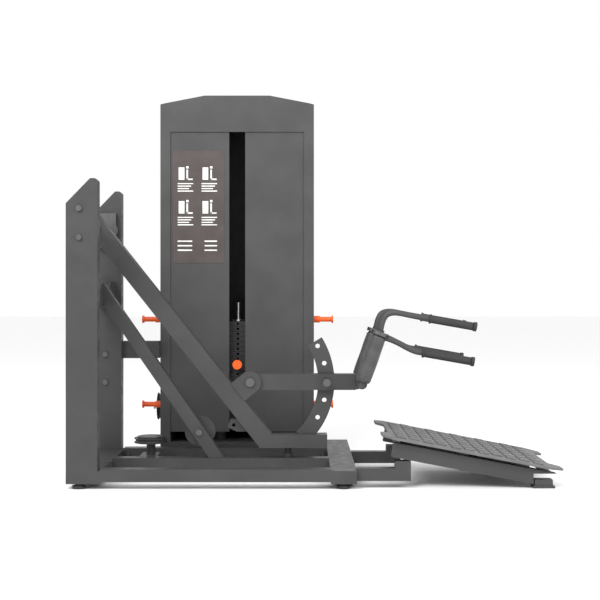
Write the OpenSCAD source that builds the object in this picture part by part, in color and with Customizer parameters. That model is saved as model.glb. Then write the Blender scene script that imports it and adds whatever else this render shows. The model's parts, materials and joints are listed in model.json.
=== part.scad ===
// Standing hip thrust machine with a weight tower, a swinging thrust frame and a sloped platform.
// +X runs from the posts to the platform, +Y from the working side to the tower, +Z up.

/* [Base] */
// Half of the overall length
half_len = 1029; // [1029:1:1040]
// Side of the long base rails
rail_w = 60; // [60:1:64]
// Top of the base rails above the floor
rail_top = 82; // [82:1:90]
// Wall of every rectangular tube
wall = 4; // [3:1:5]

/* [Posts] */
// Width of each post along X
post_w = 130; // [130:1:134]
// Height of the posts
post_h = 1280; // [1260:1:1300]

/* [Swing frame] */
// Height of the main pivot
pivot_z = 1096; // [1090:1:1100]
// Depth of the swinging beam
swing_h = 76; // [70:1:78]
// Pitch between the lock holes, in degrees
lock_pitch = 14; // [14:1:14]

/* [Tower] */
// Width of the tower
tower_w = 728; // [728:1:740]
// Height of the tower
tower_h = 1742; // [1720:1:1760]
// Thickness of one weight plate
plate_t = 23; // [22:1:23]

/* [Platform] */
// Slope of the platform, in degrees
slope = 10.8; // [10.8:0.1:11]

/* [Hidden] */
$fn = 40;
e = 0.1;
near_y = -575;
far_y = 65;
mid_y = -225;
dark = [0.25, 0.25, 0.255];
orange = [1, 0.35, 0.1];
post_x = -half_len;
rail_x0 = post_x + 140;
foot_x = 61;
foot_w = 107;
pivot_x = post_x + 69;
beam_a = 51.6;
lever_x = -284;
lever_z = 416;
lock_r = 335;
tower_y = 150;
tower_d = 435;
tower_x1 = 0;
tower_x0 = tower_x1 - tower_w;
tower_xc = (tower_x0 + tower_x1) / 2;
slot_w = 76;
stack_z = 190;
moving_from = 11;
plate_n = 20;
pitch_z = plate_t + 1;
stack_y = tower_y + 120;
plat_x0 = 275;
plat_z0 = 222;
plat_len = 766;
// How far a corner ball stands proud of its bar
ball_proud = 1.5;

// Rectangular tube along X, open at its low end and closed at its high end
module tube_x(len, w, h) {
  difference() {
    cube([len, w, h]);
    translate([-1, wall, wall]) cube([len - wall + 1, w - 2 * wall, h - 2 * wall]);
  }
}

// Rectangular tube along Y, open at its low end and closed at its high end
module tube_y(len, w, h) {
  difference() {
    cube([w, len, h]);
    translate([wall, wall, wall]) cube([w - 2 * wall, len - 2 * wall, h - 2 * wall]);
  }
}

// Round rod between two points
module rod(p, q, r) {
  v = q - p;
  len = norm(v);
  translate(p) rotate([0, acos(v[2] / len), atan2(v[1], v[0])]) cylinder(h = len, r = r);
}

// Twelve-sided bar along a list of points, with a slightly proud ball over each inner corner
module bent_bar(points, r) {
  for (i = [0 : len(points) - 2]) rod(points[i], points[i + 1], r, $fn = 12);
  for (i = [1 : len(points) - 2]) translate(points[i]) sphere(r = r + ball_proud, $fn = 12);
}

// Flat plate standing in the XZ plane, centred on y
module plate_xz(y, t) {
  translate([0, y + t / 2, 0]) rotate([90, 0, 0]) linear_extrude(t) children();
}

module pin_y(x, y, z, r, len) {
  translate([x, y, z]) rotate([-90, 0, 0]) cylinder(h = len, r = r);
}

module front_rail() {
  color(dark) translate([rail_x0, near_y, rail_top - 52]) tube_x(foot_x - rail_x0, rail_w, 52);
}

module middle_rail() {
  color(dark) translate([rail_x0, mid_y - rail_w / 2, rail_top - 52])
    tube_x(foot_x - rail_x0, rail_w, 52);
}

module far_rail() {
  color(dark) translate([rail_x0, far_y, rail_top - 52]) tube_x(foot_x - rail_x0, rail_w, 52);
}

module left_foot_beam() {
  color(dark) translate([post_x, near_y, 22]) tube_y(700, 140, 53);
}

module right_foot_beam() {
  color(dark) translate([foot_x, near_y, 22]) tube_y(995, foot_w, 54);
}

// Post with a sloped top whose upper corner is clipped
module post(y) {
  outline = [[0, 75], [post_w, 75], [post_w, post_h - 10], [post_w - 10, post_h], [post_w - 30, post_h],
    [0, post_h - 103]];
  color(dark) difference() {
    translate([post_x, 0, 0]) plate_xz(y + rail_w / 2, rail_w) polygon(outline);
    translate([post_x + wall, y + wall, 74]) cube([post_w - 2 * wall, rail_w - 2 * wall, post_h - 190]);
  }
}

module near_post() { post(near_y); }
module far_post() { post(far_y); }

module post_cross_tube() {
  color(dark) translate([post_x + 30, near_y + rail_w, 740]) tube_y(580, 69, 120);
}

// Two flanged blocks that carry the main pivot shaft
module pivot_bearings() {
  color("dimgray") for (y = [near_y + rail_w, far_y - 30]) difference() {
    union() {
      translate([pivot_x - 40, y, pivot_z - 80]) cube([80, 30, 160]);
      pin_y(pivot_x, y, pivot_z, 48, 30);
    }
    pin_y(pivot_x, y - 1, pivot_z, 17.5 + 0.05, 32);
  }
}

module lower_brace() {
  rise = 1.449;
  x0 = post_x + 99;
  outline = [[x0, 755], [x0, 852], [x0 + (852 - rail_top) / rise, rail_top],
    [x0 + (755 - rail_top) / rise, rail_top]];
  color(dark) difference() {
    plate_xz(mid_y, 50) polygon(outline);
    pin_y(-509, mid_y - 30, 195, 8 + 0.05, 60);
  }
}

module leveling_feet() {
  spots = [[-980, -545], [-980, 95], [114, -545], [114, 390], [-700, 540], [-30, 540]];
  color("black") for (s = spots) translate([s[0], s[1], 0]) {
    cylinder(h = 12, r = 27);
    translate([0, 0, 12]) cylinder(h = 10, r = 18);
  }
}

module swing_bumper() {
  color("black") translate([-119, mid_y, rail_top]) {
    cylinder(h = 20, r = 20);
    translate([0, 0, 20]) cylinder(h = 25, r = 14);
  }
}

module tower_base() {
  color(dark) difference() {
    translate([tower_x0, tower_y, 22]) cube([tower_w, tower_d, 78]);
    translate([tower_x0 + 50, tower_y + 50, 21]) cube([tower_w - 100, tower_d - 100, 65]);
  }
}

module side_cover(x) {
  color(dark) translate([x, tower_y, 100]) cube([47, tower_d, 1470]);
}

module side_cover_left() { side_cover(tower_x0); }
module side_cover_right() { side_cover(tower_x1 - 47); }

module front_panel(x0, x1) {
  color([0.3, 0.3, 0.305]) translate([x0, tower_y + 6, 148]) cube([x1 - x0, 3, 1422]);
}

module front_panel_left() { front_panel(tower_x0 + 47, tower_xc - slot_w / 2); }
module front_panel_right() { front_panel(tower_xc + slot_w / 2, tower_x1 - 47); }

module rear_cover() {
  color(dark) translate([tower_x0 + 47, tower_y + tower_d - 6, 100]) cube([tower_w - 94, 3, 1470]);
}

// Hood with chamfered shoulders, hollow below
module top_hood() {
  z0 = 1570;
  outline = [[0, z0], [0, tower_h - 42], [24, tower_h - 36], [210, tower_h], [tower_w - 210, tower_h],
    [tower_w - 24, tower_h - 36], [tower_w, tower_h - 42], [tower_w, z0]];
  color(dark) difference() {
    translate([tower_x0, 0, 0]) plate_xz(tower_y + tower_d / 2, tower_d) polygon(outline);
    translate([tower_x0 + 50, tower_y + 6, z0 - 1]) cube([tower_w - 100, tower_d - 12, 80]);
  }
}

module placard() {
  color([0.22, 0.2, 0.2]) translate([tower_x0 + 57, tower_y + 4.5, 948]) cube([246, 1.5, 534]);
}

module link_tube() {
  color(dark) translate([post_x + post_w, 95, 500]) tube_x(tower_x0 - post_x - post_w, 60, 80);
}

// One flared peg along X
module peg(x, z, side) {
  color(orange) translate([x, tower_y + 60, z]) rotate([0, 90 * side, 0]) {
    cylinder(h = 30, r = 16);
    translate([0, 0, 30]) cylinder(h = 55, r = 12);
    translate([0, 0, 85]) cylinder(h = 8, r = 18);
  }
}

module band_pegs() {
  for (z = [273, 680]) {
    peg(tower_x0, z, -1);
    peg(tower_x1, z, 1);
  }
}

module guide_rods() {
  color("silver") for (s = [-1, 1]) translate([tower_xc + s * 90, stack_y, 100])
    cylinder(h = 1549, r = 12);
}

module stack_buffers() {
  color("black") for (s = [-1, 1]) translate([tower_xc + s * 90, stack_y, 100]) difference() {
    cylinder(h = stack_z - 100, r = 28);
    translate([0, 0, -1]) cylinder(h = stack_z, r = 12.5);
  }
}

// A run of weight plates, each bored for the rods and the stem and cross-drilled for the pin
module plates(first, last) {
  color([0.17, 0.17, 0.18]) for (i = [first : last]) difference() {
    translate([tower_xc - 150, stack_y - 55, stack_z + i * pitch_z]) cube([300, 110, plate_t]);
    for (s = [-1, 1]) translate([tower_xc + s * 90, stack_y, stack_z + i * pitch_z - 1])
      cylinder(h = plate_t + 2, r = 13);
    translate([tower_xc, stack_y, stack_z + i * pitch_z - 1]) cylinder(h = plate_t + 2, r = 14);
    pin_y(tower_xc, stack_y - 60, stack_z + i * pitch_z + plate_t / 2, 6, 60);
  }
}

module lower_plates() { plates(0, moving_from - 1); }
module upper_plates() { plates(moving_from, plate_n - 1); }

pin_z = stack_z + moving_from * pitch_z + plate_t / 2;

module selector_stem() {
  color("silver") difference() {
    union() {
      translate([tower_xc, stack_y, stack_z + 4]) cylinder(h = plate_n * pitch_z, r = 12.5);
      translate([tower_xc, stack_y, stack_z + plate_n * pitch_z]) cylinder(h = 90, r = 10);
      translate([tower_xc, stack_y, stack_z + plate_n * pitch_z]) cylinder(h = 8, r = 30);
    }
    for (i = [0 : plate_n - 1])
      pin_y(tower_xc, stack_y - 20, stack_z + i * pitch_z + plate_t / 2, 5.5, 40);
  }
}

module selector_pin() {
  color("silver") pin_y(tower_xc, stack_y - 98, pin_z, 5, 106);
}

module selector_knob() {
  color(orange) translate([tower_xc, stack_y - 98, pin_z]) rotate([90, 0, 0]) {
    cylinder(h = 8, r = 14);
    translate([0, 0, 8]) cylinder(h = 16, r = 22);
  }
}

// Lengthwise axis of the swinging beam starts at the main pivot
module swing_beam() {
  len = 1370;
  color(dark) difference() {
    translate([pivot_x, mid_y - 40, pivot_z]) rotate([0, beam_a, 0])
      translate([-60, 0, -swing_h / 2]) cube([len, 80, swing_h]);
    pin_y(pivot_x, mid_y - 50, pivot_z, 17.5, 100);
    translate([-600, mid_y - 50, 0]) cube([800, 100, 128]);
    translate([-246, mid_y - 50, 100]) cube([400, 100, 86 + e]);
  }
}

module swing_foot() {
  color(dark) translate([-246 + e, mid_y - 40, 128]) tube_x(299, 80, 58);
}

// Lock plate, a ring sector centred on the lever pivot
module quadrant() {
  color(dark) difference() {
    plate_xz(mid_y, 10) translate([lever_x, lever_z]) intersection() {
      difference() {
        circle(r = 370, $fn = 96);
        circle(r = 298, $fn = 96);
      }
      polygon([[0, 0], [500, 312], [500, -490], [460, -500]]);
    }
    translate([-300, mid_y - 10, 0]) cube([500, 20, 186]);
    for (k = [-2 : 2]) pin_y(lever_x + lock_r * cos(k * lock_pitch), mid_y - 10,
      lever_z + lock_r * sin(k * lock_pitch), 10.05, 20);
  }
}

module pivot_shaft() {
  color("silver") pin_y(pivot_x, near_y + rail_w + 2, pivot_z, 17.5, 576);
}

module cable_clevis() {
  color(dark) difference() {
    plate_xz(mid_y, 12) polygon([[-385, 215], [-372, 252], [-331, 252], [-286, 196], [-345, 196]]);
    pin_y(-358, mid_y - 10, 225, 8, 20);
    translate([pivot_x, mid_y - 40, pivot_z]) rotate([0, beam_a, 0])
      translate([-60, 0, -swing_h / 2]) cube([1370, 80, swing_h]);
  }
}

// Two cheeks on the beam that hold the lever's pivot bolt
module lever_bracket() {
  color(dark) for (y = [-46, 34]) difference() {
    union() {
      pin_y(lever_x, mid_y + y, lever_z, 48, 12);
      translate([lever_x, mid_y + y, lever_z]) rotate([0, beam_a, 0])
        translate([-48, 0, -130]) cube([96, 12, 130]);
    }
    pin_y(lever_x, mid_y + y - 1, lever_z, 12.05, 14);
    translate([pivot_x, mid_y - 60, pivot_z]) rotate([0, beam_a, 0])
      translate([-60, 0, -swing_h / 2 - 300]) cube([1370, 120, swing_h + 300]);
  }
}

module lever_arm() {
  color(dark) difference() {
    union() {
      translate([lever_x, mid_y - 30, lever_z - 35]) cube([462, 60, 70]);
      pin_y(lever_x, mid_y - 30, lever_z, 35, 60);
    }
    pin_y(lever_x, mid_y - 31, lever_z, 12.05, 62);
    translate([lever_x + 285, mid_y - 7, lever_z - 40]) cube([95, 14, 80]);
    pin_y(lever_x + lock_r, mid_y - 31, lever_z, 10.05, 24.5);
  }
}

module lever_bolt() {
  color("dimgray") {
    pin_y(lever_x, mid_y - 46, lever_z, 12, 92);
    pin_y(lever_x, mid_y - 56, lever_z, 19, 9.9);
    pin_y(lever_x, mid_y + 46.1, lever_z, 19, 9.9);
  }
}

module lock_pin() {
  color("silver") pin_y(lever_x + lock_r, mid_y - 50, lever_z, 10, 42);
  color("black") pin_y(lever_x + lock_r, mid_y - 72, lever_z, 17, 22.1);
}

pad_dx = 81;
pad_dz = 229;
pad_x = 193;
pad_z = 400;
pad_dir = [pad_dx, 0, pad_dz] / norm([pad_dx, 0, pad_dz]);
pad_side = 150;

// Cross tube of the lever with the two leaning posts inside the pads
module pad_posts() {
  color(dark) {
    pin_y(pad_x + 7, mid_y - pad_side, lever_z, 22, 2 * pad_side);
    for (s = [-1, 1]) rod([pad_x, mid_y + s * pad_side, pad_z], [pad_x, mid_y + s * pad_side, pad_z]
      + 265 * pad_dir, 16);
  }
}

module hip_pads() {
  color([0.2, 0.2, 0.2]) for (s = [-1, 1]) difference() {
    rod([pad_x, mid_y + s * pad_side, pad_z] + 28 * pad_dir,
      [pad_x, mid_y + s * pad_side, pad_z] + 240 * pad_dir, 33);
    rod([pad_x, mid_y + s * pad_side, pad_z], [pad_x, mid_y + s * pad_side, pad_z] + 260 * pad_dir, 16.5);
    pin_y(pad_x + 7, mid_y - pad_side - 1, lever_z, 23, 2 * pad_side + 2);
  }
}

module pad_collars() {
  color("dimgray") for (s = [-1, 1]) difference() {
    rod([pad_x, mid_y + s * pad_side, pad_z] + 240.5 * pad_dir,
      [pad_x, mid_y + s * pad_side, pad_z] + 256 * pad_dir, 38);
    rod([pad_x, mid_y + s * pad_side, pad_z], [pad_x, mid_y + s * pad_side, pad_z] + 270 * pad_dir, 16.1);
  }
}

top_dx = pad_x + 265 * pad_dir[0];
top_z = pad_z + 265 * pad_dir[2];
grip_dir = [cos(10), 0, -sin(10)];

// Start of a grip on the upper or lower handle of one side
function grip_start(s, up) = [top_dx + (up ? 190 : 160), mid_y + s * (pad_side + 20), up ? 700 : 555];

module upper_handles() {
  color(dark) for (s = [-1, 1]) bent_bar([[top_dx + 0.2, mid_y + s * pad_side, top_z + 0.5],
    [top_dx + 18, mid_y + s * pad_side, top_z + 40], [top_dx + 50, mid_y + s * (pad_side + 8), top_z + 62],
    [top_dx + 90, mid_y + s * (pad_side + 16), 717], grip_start(s, true),
    grip_start(s, true) + 205 * grip_dir], 13);
}

module lower_handles() {
  color(dark) for (s = [-1, 1]) bent_bar([[top_dx + 34, mid_y + s * pad_side, top_z - 35],
    grip_start(s, false), grip_start(s, false) + 225 * grip_dir], 13);
}

module hand_grips() {
  color([0.13, 0.13, 0.13]) for (s = [-1, 1], up = [true, false]) difference() {
    rod(grip_start(s, up) + 15 * grip_dir, grip_start(s, up) + (up ? 190 : 210) * grip_dir, 18);
    rod(grip_start(s, up), grip_start(s, up) + 240 * grip_dir, 13.2);
  }
}

module grip_caps() {
  color("black") for (s = [-1, 1], up = [true, false])
    rod(grip_start(s, up) + (up ? 205.2 : 225.2) * grip_dir, grip_start(s, up)
      + (up ? 219 : 239) * grip_dir, 20);
}

// Grooved pulley around its own Z axis
module sheave(r, t, bore) {
  difference() {
    cylinder(h = t, r = r, $fn = 64);
    translate([0, 0, -1]) cylinder(h = t + 2, r = bore);
    translate([0, 0, t / 2]) rotate_extrude($fn = 64) translate([r, 0]) circle(r = t * 0.3, $fn = 24);
  }
}

module brace_pulley() {
  color([0.3, 0.3, 0.3]) translate([-509, mid_y + 26, 195]) rotate([-90, 0, 0]) sheave(68, 22, 8.05);
}

module side_pulley() {
  color("black") translate([tower_x0 - 34, tower_y + 190, 251]) rotate([0, 90, 0]) sheave(66, 22, 8.05);
}

module side_pulley_axle() {
  color("silver") translate([tower_x0 - 46, tower_y + 190, 251]) rotate([0, 90, 0])
    cylinder(h = 46, r = 8);
  color("silver") translate([tower_x0 - 54, tower_y + 190, 251]) rotate([0, 90, 0])
    cylinder(h = 8.1, r = 16);
}

module floor_pulley() {
  color("black") translate([-739, mid_y + 120, 132]) sheave(75, 22, 8.05);
}

module floor_pulley_stand() {
  color(dark) {
    translate([-779, mid_y + rail_w / 2, rail_top - 10]) cube([80, 130, 10]);
    translate([-739, mid_y + 120, rail_top - 0.1]) cylinder(h = 76, r = 8);
    translate([-739, mid_y + 120, rail_top - 0.1]) cylinder(h = 49, r = 20);
    translate([-739, mid_y + 120, 155]) cylinder(h = 6, r = 60);
  }
}

module post_bolts() {
  color("dimgray") for (z = [1037, 1156], y = [near_y - 10, far_y + rail_w])
    pin_y(post_x + 55, y, z, 12, 10);
  color("dimgray") for (z = [390, 520]) pin_y(post_x + 55, far_y - 10, z, 12, 10);
  color("dimgray") pin_y(-509, mid_y - 37, 195, 14, 12);
  color("dimgray") pin_y(-509, mid_y - 25, 195, 8, 75);
}

// Bolts through the end of each long rail
module rail_bolts() {
  color("dimgray") for (y = [near_y + rail_w, far_y - 10], x = [rail_x0 + 22, foot_x - 22])
    pin_y(x, y, 56, 9, 10);
}

module platform_rails() {
  color(dark) for (y = [-545, -55]) {
    translate([foot_x + foot_w, y, 30]) cube([225, 50, 52]);
    translate([foot_x + foot_w + 160, y, rail_top]) cube([65, 50, 30]);
  }
}

// Sloped frame of two side tubes and three cross tubes
module platform_frame() {
  color(dark) difference() {
    translate([plat_x0 + 20, 0, plat_z0 - 28]) rotate([0, slope, 0]) {
      for (y = [-545, -55]) translate([30, y, -60]) cube([685, 50, 60]);
      for (x = [60, 350, 660]) translate([x, -495, -40]) cube([40, 440, 40]);
    }
    translate([foot_x, -600, 0]) cube([332.2, 700, 112.1]);
    translate([900, -600, 0]) cube([200, 700, 60.1]);
  }
}

module platform_feet() {
  color(dark) for (y = [-545, -55]) {
    translate([905, y, 10]) cube([75, 50, 25]);
    translate([898, y - 4, 0]) cube([90, 58, 10]);
  }
}

bump_nx = 11;
bump_ny = 7;

// Tread plate with staggered raised lugs and clipped corners
module platform_plate() {
  corners = [[0, 40], [40, 0], [plat_len - 60, 0], [plat_len, 45], [plat_len, 120], [plat_len - 45, 150],
    [plat_len - 45, 455], [plat_len, 485], [plat_len, 560], [plat_len - 60, 605], [40, 605], [0, 565],
    [0, 470], [35, 440], [35, 165], [0, 135]];
  color([0.36, 0.36, 0.36]) translate([plat_x0, near_y, plat_z0]) rotate([0, slope, 0]) {
    translate([0, 0, -9]) linear_extrude(9) polygon(corners);
    for (i = [0 : bump_nx - 1], j = [0 : bump_ny - 1])
      translate([62 + i * 58, 30 + j * 78 + (i % 2) * 20, 0]) cube([38, 52, 5]);
  }
}

front_rail();
middle_rail();
far_rail();
left_foot_beam();
right_foot_beam();
near_post();
far_post();
post_cross_tube();
pivot_bearings();
lower_brace();
leveling_feet();
swing_bumper();
tower_base();
side_cover_left();
side_cover_right();
front_panel_left();
front_panel_right();
rear_cover();
top_hood();
placard();
link_tube();
band_pegs();
guide_rods();
stack_buffers();
lower_plates();
upper_plates();
selector_stem();
selector_pin();
selector_knob();
swing_beam();
swing_foot();
quadrant();
pivot_shaft();
cable_clevis();
lever_bracket();
lever_arm();
lever_bolt();
lock_pin();
pad_posts();
hip_pads();
pad_collars();
upper_handles();
lower_handles();
hand_grips();
grip_caps();
brace_pulley();
side_pulley();
side_pulley_axle();
floor_pulley();
floor_pulley_stand();
post_bolts();
rail_bolts();
platform_rails();
platform_frame();
platform_feet();
platform_plate();
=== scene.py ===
import json
import math

import bmesh
import bpy
from mathutils import Matrix, Vector


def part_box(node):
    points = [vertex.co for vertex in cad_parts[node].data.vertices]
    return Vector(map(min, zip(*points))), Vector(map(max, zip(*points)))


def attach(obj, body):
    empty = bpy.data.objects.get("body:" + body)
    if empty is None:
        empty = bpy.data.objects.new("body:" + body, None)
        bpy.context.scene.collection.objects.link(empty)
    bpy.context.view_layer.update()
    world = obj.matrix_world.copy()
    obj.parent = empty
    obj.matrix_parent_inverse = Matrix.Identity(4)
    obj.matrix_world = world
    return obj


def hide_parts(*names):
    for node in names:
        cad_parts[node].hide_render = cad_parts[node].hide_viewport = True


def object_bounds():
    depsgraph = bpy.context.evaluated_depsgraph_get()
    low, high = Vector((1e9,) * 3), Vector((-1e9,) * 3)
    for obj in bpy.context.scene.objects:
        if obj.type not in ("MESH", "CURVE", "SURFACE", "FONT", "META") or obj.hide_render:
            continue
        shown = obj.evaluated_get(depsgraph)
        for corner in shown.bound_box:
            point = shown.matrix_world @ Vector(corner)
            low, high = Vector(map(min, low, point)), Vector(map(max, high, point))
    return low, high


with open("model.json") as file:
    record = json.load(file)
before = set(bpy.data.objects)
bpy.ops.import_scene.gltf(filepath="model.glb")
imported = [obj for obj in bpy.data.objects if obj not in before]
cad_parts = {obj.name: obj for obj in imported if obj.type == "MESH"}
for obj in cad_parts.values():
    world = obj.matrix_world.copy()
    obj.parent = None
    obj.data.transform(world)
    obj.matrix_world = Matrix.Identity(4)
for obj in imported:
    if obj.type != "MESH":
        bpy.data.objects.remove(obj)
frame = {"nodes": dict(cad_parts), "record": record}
cad_box = [list(corner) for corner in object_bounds()]
NODES = frame["nodes"]

CHARCOAL = (0.048, 0.048, 0.049)
PANEL = (0.055, 0.055, 0.056)
ORANGE = (0.90, 0.115, 0.012)


# ---- materials -------------------------------------------------------------------------------

def new_material(name, colour, rough, metallic=0.0):
    mat = bpy.data.materials.new(name)
    mat.use_nodes = True
    shader = mat.node_tree.nodes["Principled BSDF"]
    shader.inputs["Base Color"].default_value = (*colour, 1)
    shader.inputs["Roughness"].default_value = rough
    shader.inputs["Metallic"].default_value = metallic
    return mat, mat.node_tree, shader


def coords(tree, scale=(1, 1, 1)):
    place = tree.nodes.new("ShaderNodeTexCoord")
    mapping = tree.nodes.new("ShaderNodeMapping")
    mapping.inputs["Scale"].default_value = scale
    tree.links.new(place.outputs["Object"], mapping.inputs["Vector"])
    return mapping.outputs["Vector"]


def noise(tree, vector, scale, detail=4):
    tex = tree.nodes.new("ShaderNodeTexNoise")
    tex.inputs["Scale"].default_value = scale
    tex.inputs["Detail"].default_value = detail
    tree.links.new(vector, tex.inputs["Vector"])
    return tex.outputs["Fac"]


def ramp(tree, fac, low, high, start=0.35, end=0.65):
    node = tree.nodes.new("ShaderNodeValToRGB")
    node.color_ramp.elements[0].position = start
    node.color_ramp.elements[0].color = (*low, 1)
    node.color_ramp.elements[1].position = end
    node.color_ramp.elements[1].color = (*high, 1)
    tree.links.new(fac, node.inputs["Fac"])
    return node.outputs["Color"]


def bump(tree, shader, height, distance, strength=0.5):
    node = tree.nodes.new("ShaderNodeBump")
    node.inputs["Distance"].default_value = distance
    node.inputs["Strength"].default_value = strength
    tree.links.new(height, node.inputs["Height"])
    tree.links.new(node.outputs["Normal"], shader.inputs["Normal"])


def shade(colour, factor):
    return tuple(min(1.0, c * factor) for c in colour)


def powder_coat(name, colour, rough=0.42):
    """Paint with a fine orange-peel bump, slow colour drift and small darker scuffs."""
    mat, tree, shader = new_material(name, colour, rough)
    vector = coords(tree)
    base = ramp(tree, noise(tree, vector, 6), shade(colour, 0.9), shade(colour, 1.1))
    scuff = ramp(tree, noise(tree, vector, 55, 8), (0, 0, 0), (0.5, 0.5, 0.5), 0.66, 0.74)
    mix = tree.nodes.new("ShaderNodeMixRGB")
    mix.inputs["Color2"].default_value = (*shade(colour, 0.7), 1)
    tree.links.new(scuff, mix.inputs["Fac"])
    tree.links.new(base, mix.inputs["Color1"])
    tree.links.new(mix.outputs["Color"], shader.inputs["Base Color"])
    shader.inputs["Specular IOR Level"].default_value = 0.3
    rough_map = ramp(tree, noise(tree, vector, 35), (rough - 0.05,) * 3, (rough + 0.07,) * 3)
    tree.links.new(rough_map, shader.inputs["Roughness"])
    bump(tree, shader, noise(tree, vector, 900, 2), 0.0004, 0.35)
    return mat


def moulded(name, colour, rough, grain=500, metallic=0.0, depth=0.0004):
    mat, tree, shader = new_material(name, colour, rough, metallic)
    vector = coords(tree)
    base = ramp(tree, noise(tree, vector, 14), shade(colour, 0.85), shade(colour, 1.15))
    tree.links.new(base, shader.inputs["Base Color"])
    bump(tree, shader, noise(tree, vector, grain), depth, 0.5)
    return mat


def brushed(name, colour, rough):
    mat, tree, shader = new_material(name, colour, rough, 1.0)
    streak = noise(tree, coords(tree, (400, 400, 8)), 1.0)
    rough_map = ramp(tree, streak, (rough - 0.1,) * 3, (rough + 0.12,) * 3)
    tree.links.new(rough_map, shader.inputs["Roughness"])
    bump(tree, shader, streak, 0.0002, 0.3)
    return mat


def vinyl():
    """Upholstery vinyl: leather-like cells with a soft sheen."""
    mat, tree, shader = new_material("pad_vinyl", (0.045, 0.045, 0.047), 0.48)
    vector = coords(tree)
    cells = tree.nodes.new("ShaderNodeTexVoronoi")
    cells.inputs["Scale"].default_value = 420
    tree.links.new(vector, cells.inputs["Vector"])
    base = ramp(tree, noise(tree, vector, 22), (0.036, 0.036, 0.038), (0.056, 0.056, 0.058))
    tree.links.new(base, shader.inputs["Base Color"])
    bump(tree, shader, cells.outputs["Distance"], 0.0006, 0.5)
    shader.inputs["Sheen Weight"].default_value = 0.15
    return mat


MATERIALS = {
    "frame_paint": powder_coat("frame_paint", CHARCOAL),
    "panel_paint": powder_coat("panel_paint", PANEL, 0.5),
    "rubber_black": moulded("rubber_black", (0.022, 0.022, 0.022), 0.75, 700),
    "pad_vinyl": vinyl(),
    "steel": brushed("steel", (0.62, 0.62, 0.63), 0.28),
    "bolt_steel": brushed("bolt_steel", (0.13, 0.13, 0.13), 0.4),
    "orange_plastic": moulded("orange_plastic", ORANGE, 0.38, 300),
    "pulley_plastic": moulded("pulley_plastic", (0.03, 0.03, 0.032), 0.5, 400),
    "plate_iron": moulded("plate_iron", (0.03, 0.03, 0.032), 0.55, 250, 0.3, 0.0008),
    "tread": moulded("tread", (0.12, 0.12, 0.12), 0.6, 350, 0.0, 0.0007),
    "placard_print": moulded("placard_print", (0.055, 0.043, 0.040), 0.45, 200),
    "print_white": moulded("print_white", (0.75, 0.75, 0.74), 0.5, 200),
}
SLOT_OF = {part["node"]: part["material_slot"] for part in frame["record"]["subparts"]}


def dress(obj, slot_name):
    obj.data.materials.clear()
    obj.data.materials.append(MATERIALS[slot_name])


def soften_edges(obj, width):
    """Small rounded edges, as bent and welded tube has."""
    bevel = obj.modifiers.new("edge", "BEVEL")
    bevel.width = width
    bevel.segments = 2
    bevel.limit_method = "ANGLE"
    bevel.angle_limit = math.radians(40)


# Edge rounding of the tubes and covers, in metres
SOFT_EDGES = {
    "front_rail": 0.004, "middle_rail": 0.004, "far_rail": 0.004, "left_foot_beam": 0.005,
    "right_foot_beam": 0.005, "side_cover_left": 0.006, "side_cover_right": 0.006,
    "swing_foot": 0.004, "platform_feet": 0.002, "link_tube": 0.003, "tower_base": 0.003,
}
# Edges that turn by more than this stay sharp on the round CAD parts
SHARP_DEGREES = 32
for node_name, obj in NODES.items():
    dress(obj, SLOT_OF[node_name])
    for face in obj.data.polygons:
        face.use_smooth = True
    obj.data.set_sharp_from_angle(angle=math.radians(SHARP_DEGREES))
    if node_name in SOFT_EDGES:
        soften_edges(obj, SOFT_EDGES[node_name])


# ---- helpers for new pieces ------------------------------------------------------------------

def mesh_object(name, bm, slot_name, body, smooth=True):
    mesh = bpy.data.meshes.new(name)
    bm.normal_update()
    bm.to_mesh(mesh)
    bm.free()
    for face in mesh.polygons:
        face.use_smooth = smooth
    obj = bpy.data.objects.new(name, mesh)
    bpy.context.scene.collection.objects.link(obj)
    dress(obj, slot_name)
    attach(obj, body)
    return obj


def centre(node_name):
    low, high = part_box(node_name)
    return (low + high) / 2


# ---- hip pads --------------------------------------------------------------------------------

RINGS = 46
AROUND = 40
# How the pads lean, as in the CAD
PAD_LEAN = Vector((81, 0, 229)).normalized()
PAD_RADIUS = 0.033
# Length of the rounded shoulder at each end, and where the end seam sits
SHOULDER = 0.018
SEAM_AT = 0.022


def island_points(node_name, side):
    """World points of the pad on the near (-1) or far (+1) side."""
    mid = centre(node_name).y
    return [v.co for v in NODES[node_name].data.vertices if (v.co.y - mid) * side > 0]


def pad_axis(side):
    """Both ends of one pad's centre line, found from its CAD solid, and its length."""
    points = island_points("hip_pads", side)
    reach = [p.dot(PAD_LEAN) for p in points]
    low, high = min(reach), max(reach)
    y = (min(p.y for p in points) + max(p.y for p in points)) / 2
    top = [p for p in points if p.dot(PAD_LEAN) > high - 0.002]
    x = (min(p.x for p in top) + max(p.x for p in top)) / 2
    z = (min(p.z for p in top) + max(p.z for p in top)) / 2
    end = Vector((x, y, z))
    return end - PAD_LEAN * (high - low), end, (high - low)


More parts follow.
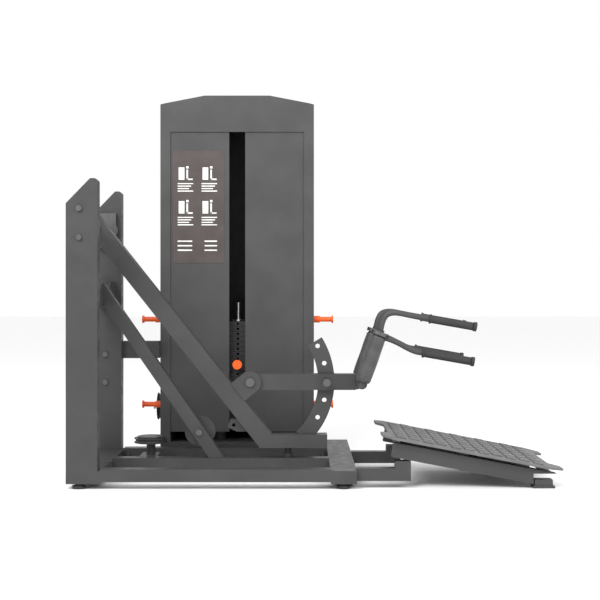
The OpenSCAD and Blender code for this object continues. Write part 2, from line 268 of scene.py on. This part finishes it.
def padded_roller(side, tag):
    """A foam roller: rounded ends, a pinched seam near each end and faint creases."""
    start, _, length = pad_axis(side)
    across = PAD_LEAN.cross(Vector((0, 1, 0))).normalized()
    bm = bmesh.new()
    rings = []
    for i in range(RINGS + 1):
        t = i / RINGS
        near_end = min(t, 1 - t) * length
        crown = min(1.0, near_end / SHOULDER)
        swell = PAD_RADIUS * (0.80 + 0.20 * math.sin(crown * math.pi / 2))
        seam = 0.0016 * math.exp(-((near_end - SEAM_AT) / 0.0022) ** 2)
        ring = []
        for k in range(AROUND):
            a = 2 * math.pi * k / AROUND
            crease = 0.0006 * math.sin(5 * a + 9 * t) * math.sin(math.pi * t)
            r = swell - seam + crease
            middle = start + PAD_LEAN * (t * length)
            side_step = across * (r * math.cos(a)) + Vector((0, 1, 0)) * (r * math.sin(a))
            ring.append(bm.verts.new(middle + side_step))
        rings.append(ring)
    for lower, upper in zip(rings, rings[1:]):
        for k in range(AROUND):
            bm.faces.new((lower[k], lower[(k + 1) % AROUND], upper[(k + 1) % AROUND], upper[k]))
    bm.faces.new(list(reversed(rings[0])))
    bm.faces.new(rings[-1])
    bmesh.ops.recalc_face_normals(bm, faces=bm.faces)
    pad = mesh_object("hip_roller_" + tag, bm, "pad_vinyl", "lever")
    return pad


rollers = [padded_roller(-1, "near"), padded_roller(1, "far")]
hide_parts("hip_pads")


# ---- handles and grips -----------------------------------------------------------------------

GRIP_DIR = Vector((math.cos(math.radians(10)), 0, -math.sin(math.radians(10))))
# From the end of a CAD grip to the cap beyond it
CAP_GAP = 0.0148
HANDLE_RADIUS = 0.0125
# How far the post inside a pad reaches past the pad's top
POST_BEYOND_PAD = 0.025


def grip_ends(side, upper):
    """First and last centre point of one grip, found from its CAD solid."""
    mid = centre("hand_grips")
    points = [p for p in island_points("hand_grips", side) if (p.z > mid.z) == upper]
    reach = [p.dot(GRIP_DIR) for p in points]
    first = [p for p, r in zip(points, reach) if r < min(reach) + 0.002]
    last = [p for p, r in zip(points, reach) if r > max(reach) - 0.002]
    return sum(first, Vector()) / len(first), sum(last, Vector()) / len(last)


def bent_tube(name, points, radius):
    """Round tube along a smooth path."""
    data = bpy.data.curves.new(name, "CURVE")
    data.dimensions = "3D"
    data.bevel_depth = radius
    data.bevel_resolution = 8
    data.resolution_u = 16
    data.use_fill_caps = True
    path = data.splines.new("NURBS")
    path.points.add(len(points) - 1)
    for spot, point in zip(path.points, points):
        spot.co = (*point, 1)
    path.order_u = 3
    path.use_endpoint_u = True
    obj = bpy.data.objects.new(name, data)
    bpy.context.scene.collection.objects.link(obj)
    data.materials.append(MATERIALS["frame_paint"])
    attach(obj, "lever")
    return obj


def foam_grip(name, start, end):
    """Rubber grip with a flange at its inner end, fine rings and a rounded nose."""
    length = (end - start).length
    along = (end - start).normalized()
    across = along.cross(Vector((0, 1, 0))).normalized()
    rings = 90
    around = 32
    bm = bmesh.new()
    loops = []
    for i in range(rings + 1):
        s = i / rings * length
        radius = 0.0172 + 0.0005 * math.cos(s / 0.004 * math.pi)
        if s < 0.008:
            radius = 0.0205
        nose = min(1.0, (length - s) / 0.006)
        radius *= 0.85 + 0.15 * math.sin(nose * math.pi / 2)
        loops.append([bm.verts.new(start + along * s + across * (radius * math.cos(a))
                                   + Vector((0, radius * math.sin(a), 0)))
                      for a in (2 * math.pi * k / around for k in range(around))])
    for low_loop, high_loop in zip(loops, loops[1:]):
        for k in range(around):
            n = (k + 1) % around
            bm.faces.new((low_loop[k], low_loop[n], high_loop[n], high_loop[k]))
    bm.faces.new(list(reversed(loops[0])))
    bm.faces.new(loops[-1])
    bmesh.ops.recalc_face_normals(bm, faces=bm.faces)
    grip = mesh_object(name, bm, "rubber_black", "lever")
    return grip


def handles():
    tubes = {True: [], False: []}
    for side, tag in ((-1, "near"), (1, "far")):
        _, end, _ = pad_axis(side)
        post_top = end + PAD_LEAN * POST_BEYOND_PAD
        for upper, level in ((True, "upper"), (False, "lower")):
            first, last = grip_ends(side, upper)
            if upper:
                path = [post_top - PAD_LEAN * 0.01, post_top + Vector((0.006, 0, 0.055)),
                        post_top + Vector((0.05, side * 0.008, 0.078)),
                        first - GRIP_DIR * 0.07, first, last]
            else:
                path = [end + Vector((0.028, 0, -0.012)),
                        end + Vector((0.06, side * 0.005, -0.02)),
                        first - GRIP_DIR * 0.04, first, last]
            tubes[upper].append(bent_tube(f"{level}_handle_{tag}", path, HANDLE_RADIUS))
            nose = last + GRIP_DIR * CAP_GAP
            foam_grip(f"{level}_grip_{tag}", first, nose)
    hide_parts("upper_handles")
    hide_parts("lower_handles")
    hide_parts("hand_grips")


handles()


def arm_saddle():
    """Fabricated nose that joins the end of the lever arm to the round cross tube."""
    low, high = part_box("lever_arm")
    height = high.z - low.z
    outline = ((-0.012, 0.0), (0.016, 0.06), (0.026, 0.28), (0.028, 0.5), (0.026, 0.72), (0.016, 0.94),
               (-0.012, 1.0))
    bm = bmesh.new()
    faces = []
    for y in (low.y + 0.001, high.y - 0.001):
        faces.append([bm.verts.new((high.x + x, y, low.z + z * height)) for x, z in outline])
    near, far = faces
    bm.faces.new(near)
    bm.faces.new(list(reversed(far)))
    for k in range(len(outline)):
        n = (k + 1) % len(outline)
        bm.faces.new((near[k], far[k], far[n], near[n]))
    bmesh.ops.recalc_face_normals(bm, faces=bm.faces)
    saddle = mesh_object("arm_saddle", bm, "frame_paint", "lever", smooth=False)
    soften_edges(saddle, 0.002)


arm_saddle()


# ---- placard pictograms ----------------------------------------------------------------------

def placard_marks():
    """Four generic diagrams and rows of plain bars, half a millimetre thick, on the placard."""
    low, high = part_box("placard")
    bm = bmesh.new()

    def bar(u, v, w, h):
        x = low.x + (high.x - low.x) * u
        z = high.z - (high.z - low.z) * v
        size = Vector(((high.x - low.x) * w, 0.0005, (high.z - low.z) * h))
        spot = Matrix.Translation((x + size.x / 2, low.y - 0.0003, z - size.z / 2))
        bmesh.ops.create_cube(bm, size=1, matrix=spot @ Matrix.Diagonal((*size, 1)))

    for u in (0.10, 0.56):
        for v in (0.12, 0.42):
            bar(u + 0.02, v + 0.03, 0.11, 0.11)
            bar(u + 0.17, v + 0.05, 0.03, 0.09)
            bar(u + 0.165, v + 0.02, 0.045, 0.02)
            bar(u + 0.17, v + 0.13, 0.12, 0.012)
            for line in range(4):
                bar(u, v + 0.17 + line * 0.022, 0.30 - 0.04 * (line % 3), 0.009)
    for line in range(3):
        bar(0.10, 0.80 + line * 0.04, 0.28, 0.012)
        bar(0.62, 0.80 + line * 0.04, 0.24, 0.012)
    marks = mesh_object("placard_marks", bm, "print_white", "base", smooth=False)


placard_marks()


# ---- floor, light and camera -----------------------------------------------------------------

def studio():
    bm = bmesh.new()
    bmesh.ops.create_grid(bm, x_segments=2, y_segments=2, size=30)
    mesh = bpy.data.meshes.new("floor")
    bm.to_mesh(mesh)
    bm.free()
    floor = bpy.data.objects.new("floor", mesh)
    bpy.context.scene.collection.objects.link(floor)
    mesh.materials.append(new_material("floor_white", (0.93, 0.93, 0.93), 0.6)[0])
    world = bpy.data.worlds.new("studio")
    bpy.context.scene.world = world
    world.use_nodes = True
    world.node_tree.nodes["Background"].inputs["Color"].default_value = (1, 1, 1, 1)
    world.node_tree.nodes["Background"].inputs["Strength"].default_value = 1.0
    for name, spot, power, size in (("key", (-2.5, -4.0, 4.5), 260, 3.0),
                                    ("fill", (3.5, -3.0, 3.0), 120, 3.0)):
        lamp = bpy.data.lights.new(name, "AREA")
        lamp.energy = power
        lamp.size = size
        obj = bpy.data.objects.new(name, lamp)
        obj.location = spot
        obj.rotation_euler = (Vector((0, 0, 0.7)) - Vector(spot)).to_track_quat("-Z", "Y").to_euler()
        bpy.context.scene.collection.objects.link(obj)


IMAGE_SIDE = 600
CAMERA_DISTANCE = 4.70
CAMERA_HEIGHT = 0.82
CAMERA_X = -0.066
# Metres across one pixel at the machine's near face, and the horizon's offset in pixels
METRES_PER_PIXEL = 0.0041
HORIZON_SHIFT = -10


def camera():
    """Level camera before the machine, a little below half its height."""
    near_y = cad_box[0][1]
    data = bpy.data.cameras.new("camera")
    data.sensor_width = 36
    data.lens = data.sensor_width * CAMERA_DISTANCE / (IMAGE_SIDE * METRES_PER_PIXEL)
    data.shift_y = HORIZON_SHIFT / IMAGE_SIDE
    cam = bpy.data.objects.new("camera", data)
    cam.location = (CAMERA_X, near_y - CAMERA_DISTANCE, CAMERA_HEIGHT)
    cam.rotation_euler = (math.radians(90), 0, 0)
    bpy.context.scene.collection.objects.link(cam)
    bpy.context.scene.camera = cam


studio()
camera()
bpy.context.scene.view_settings.view_transform = "Standard"
